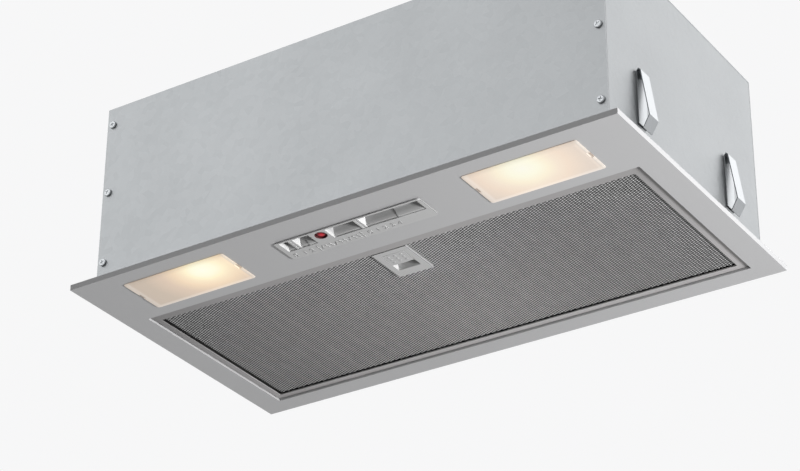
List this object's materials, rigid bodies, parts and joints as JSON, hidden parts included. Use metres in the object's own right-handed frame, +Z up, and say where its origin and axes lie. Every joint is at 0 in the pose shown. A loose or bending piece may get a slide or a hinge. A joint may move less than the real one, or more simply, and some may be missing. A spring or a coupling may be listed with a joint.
{
  "type": "under cabinet range hood",
  "caption": "Built-in range hood for the bottom board of a wall cabinet, with a drop-down grease filter, two lamps, slide switches, a fan and a duct collar with damper flaps.",
  "frame": {"origin": "middle of the base plate, on the plane of its return flange, which bears on the underside of the cabinet", "axes": "+Z up into the cabinet, +X to the right as seen from the front, +Y back towards the wall"},
  "size_m": [0.52, 0.288, 0.2265],
  "materials": {
    "paint": "satin metallic grey paint",
    "galvanised": "galvanised sheet steel",
    "filter_mesh": "expanded aluminium mesh",
    "filter_foil": "crimped aluminium mesh",
    "trim_grey": "moulded grey plastic",
    "black_plastic": "moulded black plastic",
    "pale_plastic": "moulded pale plastic",
    "frosted": "frosted translucent plastic",
    "enamel": "white enamel",
    "holder": "heat-proof moulded plastic",
    "lamp_glass": "clear glass",
    "brass": "plain",
    "steel": "bright steel",
    "motor_alloy": "die-cast",
    "rubber": "matt",
    "red_lens": "translucent red"
  },
  "bodies": {
    "hood": {"base_plate": "paint", "body_shell": "galvanised", "side_panel_left": "galvanised", "side_panel_right": "galvanised", "bay_cover": "galvanised", "spring_clip_left_front": "steel", "spring_clip_left_rear": "steel", "spring_clip_right_front": "steel", "spring_clip_right_rear": "steel", "lamp_tray_left": "enamel", "bulb_glass_left": "lamp_glass", "bulb_cap_left": "brass", "lampholder_left": "holder", "lamp_tray_right": "enamel", "bulb_glass_right": "lamp_glass", "bulb_cap_right": "brass", "lampholder_right": "holder", "switch_bezel": "trim_grey", "switch_base": "black_plastic", "light_switch": "pale_plastic", "speed_switch": "pale_plastic", "indicator_lens": "red_lens", "indicator_lamp": "lamp_glass", "scroll_half_left": "black_plastic", "scroll_half_right": "black_plastic", "motor_can": "steel", "motor_end_cap": "motor_alloy", "motor_bracket": "galvanised", "rubber_mount_top": "rubber", "rubber_mount_front": "rubber", "rubber_mount_rear": "rubber", "outlet_collar": "black_plastic", "damper_pin": "steel", "terminal_box": "black_plastic", "terminal_lid": "black_plastic", "cable_gland": "black_plastic", "capacitor": "pale_plastic", "capacitor_clip": "steel"},
    "filter": {"filter_frame": "paint", "filter_face_mesh": "filter_mesh", "filter_layer_lower": "filter_foil", "filter_layer_upper": "filter_foil", "filter_back_mesh": "filter_mesh", "latch_housing": "trim_grey", "latch_spring_left": "steel", "latch_spring_right": "steel"},
    "latch": {"latch_slider": "trim_grey"},
    "light_knob": {"light_slider": "trim_grey"},
    "speed_knob": {"speed_slider": "trim_grey"},
    "fan": {"impeller_disc": "black_plastic", "impeller_cage_left": "black_plastic", "impeller_cage_right": "black_plastic", "impeller_nut": "steel", "motor_shaft": "steel"},
    "flap_front": {"damper_flap_front": "black_plastic"},
    "flap_rear": {"damper_flap_rear": "black_plastic"},
    "cover_left": {"lamp_cover_left": "frosted"},
    "cover_right": {"lamp_cover_right": "frosted"}
  },
  "joints": [
    {"name": "filter_swing", "type": "hinge", "parent": "hood", "child": "filter", "pos_m": [0, 0.1217, -0.001], "axis": [1, 0, 0], "range_deg": [0, 80]},
    {"name": "latch_slide", "type": "slide", "parent": "filter", "child": "latch", "axis": [0, 1, 0], "range_m": [0, 0.006], "stiffness_N_per_m": 400, "springref_m": -0.004, "deforming": ["latch_spring_left", "latch_spring_right"]},
    {"name": "light_slide", "type": "slide", "parent": "hood", "child": "light_knob", "axis": [1, 0, 0], "range_m": [-0.002, 0.005]},
    {"name": "speed_slide", "type": "slide", "parent": "hood", "child": "speed_knob", "axis": [1, 0, 0], "range_m": [-0.021, 0.027]},
    {"name": "fan_spin", "type": "hinge", "parent": "hood", "child": "fan", "pos_m": [0, 0.01, 0.098], "axis": [1, 0, 0], "continuous": true},
    {"name": "flap_front_swing", "type": "hinge", "parent": "hood", "child": "flap_front", "pos_m": [0, 0.06, 0.1882], "axis": [-1, 0, 0], "range_deg": [0, 75]},
    {"name": "flap_rear_swing", "type": "hinge", "parent": "hood", "child": "flap_rear", "pos_m": [0, 0.06, 0.1882], "axis": [1, 0, 0], "range_deg": [0, 75]},
    {"name": "cover_left_pull", "type": "slide", "parent": "hood", "child": "cover_left", "axis": [0, 0, -1], "range_m": [0, 0.03]},
    {"name": "cover_right_pull", "type": "slide", "parent": "hood", "child": "cover_right", "axis": [0, 0, -1], "range_m": [0, 0.03]}
  ]
}
